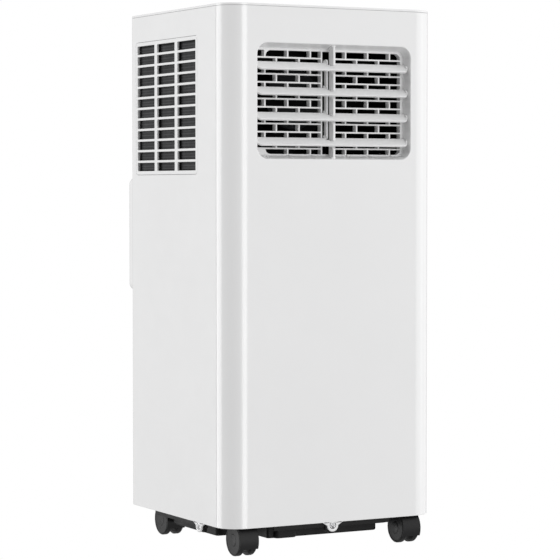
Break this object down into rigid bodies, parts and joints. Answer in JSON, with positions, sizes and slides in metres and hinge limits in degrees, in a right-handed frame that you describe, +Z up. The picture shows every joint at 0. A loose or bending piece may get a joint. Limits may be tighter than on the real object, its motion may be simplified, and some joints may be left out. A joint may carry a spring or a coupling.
{
  "type": "portable air conditioner",
  "caption": "Tall white box-shaped portable air conditioner on swivel casters, with a louvred cold-air vent, side intake grilles and a rear exhaust outlet.",
  "frame": {"origin": "on the floor, under the centre of the overall plan box", "axes": "+Z up; the cold-air vent in the front panel faces -Y; +X is to the right as seen from the front"},
  "size_m": [0.29, 0.285, 0.656],
  "materials": {
    "shell_white": "satin-gloss white moulded ABS, faint fine texture",
    "trim_white": "satin white moulded plastic",
    "base_black": "black moulded plastic, semi-matte",
    "caster_black": "black moulded nylon, semi-matte",
    "filter_mesh": "dark grey fine woven filter mesh in a thin frame",
    "screw_steel": "zinc-plated steel",
    "button_grey": "light grey moulded plastic",
    "display_glass": "smoked clear window",
    "board_green": "green lacquered circuit board",
    "seal_rubber": "black rubber",
    "coil_aluminium": "pressed aluminium fins",
    "duct_black": "black foam-lined plastic ducting",
    "blower_black": "black moulded plastic",
    "motor_steel": "dark coated steel can",
    "compressor_black": "black enamelled steel can",
    "pipe_copper": "bare copper tube"
  },
  "bodies": {
    "cabinet": {"front_panel": "shell_white", "left_side_panel": "shell_white", "right_side_panel": "shell_white", "rear_panel": "shell_white", "exhaust_housing": "shell_white", "exhaust_collar": "trim_white", "top_cover": "shell_white", "base_tray": "base_black", "front_tab_screw": "screw_steel", "left_tab_screw": "screw_steel", "right_tab_screw": "screw_steel", "vent_grille": "shell_white", "louver_support_bar": "trim_white", "control_panel": "trim_white", "display_window": "display_glass", "control_board": "board_green", "cord_gland": "seal_rubber", "middle_tray": "trim_white", "evaporator_coil": "coil_aluminium", "condenser_coil": "coil_aluminium", "upper_blower_scroll": "duct_black", "upper_blower_motor": "motor_steel", "lower_blower_scroll": "duct_black", "lower_blower_motor": "motor_steel", "compressor": "compressor_black", "discharge_pipe": "pipe_copper"},
    "left_grille": {"left_intake_grille": "shell_white", "left_filter": "filter_mesh"},
    "right_grille": {"right_intake_grille": "shell_white", "right_filter": "filter_mesh"},
    "louver_1_body": {"louver_1": "trim_white"},
    "louver_2_body": {"louver_2": "trim_white"},
    "louver_3_body": {"louver_3": "trim_white"},
    "louver_4_body": {"louver_4": "trim_white"},
    "link_bar": {"louver_link_bar": "trim_white"},
    "power_key": {"button_power": "button_grey"},
    "mode_key": {"button_mode": "button_grey"},
    "down_key": {"button_down": "button_grey"},
    "up_key": {"button_up": "button_grey"},
    "speed_key": {"button_speed": "button_grey"},
    "timer_key": {"button_timer": "button_grey"},
    "upper_blower": {"upper_blower_wheel": "blower_black"},
    "lower_blower": {"lower_blower_wheel": "blower_black"},
    "plug": {"drain_plug": "seal_rubber"},
    "front_left_caster": {"caster_front_left_body": "caster_black", "caster_front_left_axle": "screw_steel"},
    "front_left_wheel_left": {"caster_front_left_wheel_left": "caster_black"},
    "front_left_wheel_right": {"caster_front_left_wheel_right": "caster_black"},
    "front_right_caster": {"caster_front_right_body": "caster_black", "caster_front_right_axle": "screw_steel"},
    "front_right_wheel_left": {"caster_front_right_wheel_left": "caster_black"},
    "front_right_wheel_right": {"caster_front_right_wheel_right": "caster_black"},
    "rear_left_caster": {"caster_rear_left_body": "caster_black", "caster_rear_left_axle": "screw_steel"},
    "rear_left_wheel_left": {"caster_rear_left_wheel_left": "caster_black"},
    "rear_left_wheel_right": {"caster_rear_left_wheel_right": "caster_black"},
    "rear_right_caster": {"caster_rear_right_body": "caster_black", "caster_rear_right_axle": "screw_steel"},
    "rear_right_wheel_left": {"caster_rear_right_wheel_left": "caster_black"},
    "rear_right_wheel_right": {"caster_rear_right_wheel_right": "caster_black"}
  },
  "joints": [
    {"name": "left_grille_pull", "type": "slide", "parent": "cabinet", "child": "left_grille", "axis": [-1, 0, 0], "range_m": [0, 0.03]},
    {"name": "right_grille_pull", "type": "slide", "parent": "cabinet", "child": "right_grille", "axis": [1, 0, 0], "range_m": [0, 0.03]},
    {"name": "louver_1_tilt", "type": "hinge", "parent": "cabinet", "child": "louver_1_body", "pos_m": [0.00285, -0.1341, 0.5837], "axis": [1, 0, 0], "range_deg": [-38, 15]},
    {"name": "louver_2_tilt", "type": "hinge", "parent": "cabinet", "child": "louver_2_body", "pos_m": [0.00285, -0.1341, 0.5537], "axis": [1, 0, 0], "range_deg": [-38, 15]},
    {"name": "louver_3_tilt", "type": "hinge", "parent": "cabinet", "child": "louver_3_body", "pos_m": [0.00285, -0.1341, 0.5237], "axis": [1, 0, 0], "range_deg": [-38, 15]},
    {"name": "louver_4_tilt", "type": "hinge", "parent": "cabinet", "child": "louver_4_body", "pos_m": [0.00285, -0.1341, 0.4937], "axis": [1, 0, 0], "range_deg": [-38, 15]},
    {"name": "link_bar_swing", "type": "hinge", "parent": "louver_1_body", "child": "link_bar", "pos_m": [0.00285, -0.12579, 0.58996], "axis": [1, 0, 0], "range_deg": [-15, 38]},
    {"name": "power_key_press", "type": "slide", "parent": "cabinet", "child": "power_key", "axis": [0, 0, -1], "range_m": [0, 0.0008], "stiffness_N_per_m": 300},
    {"name": "mode_key_press", "type": "slide", "parent": "cabinet", "child": "mode_key", "axis": [0, 0, -1], "range_m": [0, 0.0008], "stiffness_N_per_m": 300},
    {"name": "down_key_press", "type": "slide", "parent": "cabinet", "child": "down_key", "axis": [0, 0, -1], "range_m": [0, 0.0008], "stiffness_N_per_m": 300},
    {"name": "up_key_press", "type": "slide", "parent": "cabinet", "child": "up_key", "axis": [0, 0, -1], "range_m": [0, 0.0008], "stiffness_N_per_m": 300},
    {"name": "speed_key_press", "type": "slide", "parent": "cabinet", "child": "speed_key", "axis": [0, 0, -1], "range_m": [0, 0.0008], "stiffness_N_per_m": 300},
    {"name": "timer_key_press", "type": "slide", "parent": "cabinet", "child": "timer_key", "axis": [0, 0, -1], "range_m": [0, 0.0008], "stiffness_N_per_m": 300},
    {"name": "upper_blower_spin", "type": "hinge", "parent": "cabinet", "child": "upper_blower", "pos_m": [0, 0.034, 0.548], "axis": [0, 1, 0], "continuous": true},
    {"name": "lower_blower_spin", "type": "hinge", "parent": "cabinet", "child": "lower_blower", "pos_m": [0, 0.059, 0.375], "axis": [0, 1, 0], "continuous": true},
    {"name": "drain_plug_pull", "type": "slide", "parent": "cabinet", "child": "plug", "axis": [0, 1, 0], "range_m": [0, 0.02]},
    {"name": "front_left_swivel", "type": "hinge", "parent": "cabinet", "child": "front_left_caster", "pos_m": [-0.113, -0.108, 0.045], "axis": [0, 0, 1], "continuous": true},
    {"name": "front_left_left_roll", "type": "hinge", "parent": "front_left_caster", "child": "front_left_wheel_left", "pos_m": [-0.113, -0.12, 0.019], "axis": [1, 0, 0], "continuous": true},
    {"name": "front_left_right_roll", "type": "hinge", "parent": "front_left_caster", "child": "front_left_wheel_right", "pos_m": [-0.113, -0.12, 0.019], "axis": [1, 0, 0], "continuous": true},
    {"name": "front_right_swivel", "type": "hinge", "parent": "cabinet", "child": "front_right_caster", "pos_m": [0.113, -0.108, 0.045], "axis": [0, 0, 1], "continuous": true},
    {"name": "front_right_left_roll", "type": "hinge", "parent": "front_right_caster", "child": "front_right_wheel_left", "pos_m": [0.113, -0.12, 0.019], "axis": [1, 0, 0], "continuous": true},
    {"name": "front_right_right_roll", "type": "hinge", "parent": "front_right_caster", "child": "front_right_wheel_right", "pos_m": [0.113, -0.12, 0.019], "axis": [1, 0, 0], "continuous": true},
    {"name": "rear_left_swivel", "type": "hinge", "parent": "cabinet", "child": "rear_left_caster", "pos_m": [-0.113, 0.09, 0.045], "axis": [0, 0, 1], "continuous": true},
    {"name": "rear_left_left_roll", "type": "hinge", "parent": "rear_left_caster", "child": "rear_left_wheel_left", "pos_m": [-0.113, 0.078, 0.019], "axis": [1, 0, 0], "continuous": true},
    {"name": "rear_left_right_roll", "type": "hinge", "parent": "rear_left_caster", "child": "rear_left_wheel_right", "pos_m": [-0.113, 0.078, 0.019], "axis": [1, 0, 0], "continuous": true},
    {"name": "rear_right_swivel", "type": "hinge", "parent": "cabinet", "child": "rear_right_caster", "pos_m": [0.113, 0.09, 0.045], "axis": [0, 0, 1], "continuous": true},
    {"name": "rear_right_left_roll", "type": "hinge", "parent": "rear_right_caster", "child": "rear_right_wheel_left", "pos_m": [0.113, 0.078, 0.019], "axis": [1, 0, 0], "continuous": true},
    {"name": "rear_right_right_roll", "type": "hinge", "parent": "rear_right_caster", "child": "rear_right_wheel_right", "pos_m": [0.113, 0.078, 0.019], "axis": [1, 0, 0], "continuous": true}
  ],
  "couplings": [
    {"joint": "louver_2_tilt", "follows": "louver_1_tilt", "ratio": 1},
    {"joint": "louver_3_tilt", "follows": "louver_1_tilt", "ratio": 1},
    {"joint": "louver_4_tilt", "follows": "louver_1_tilt", "ratio": 1},
    {"joint": "link_bar_swing", "follows": "louver_1_tilt", "ratio": -1}
  ]
}
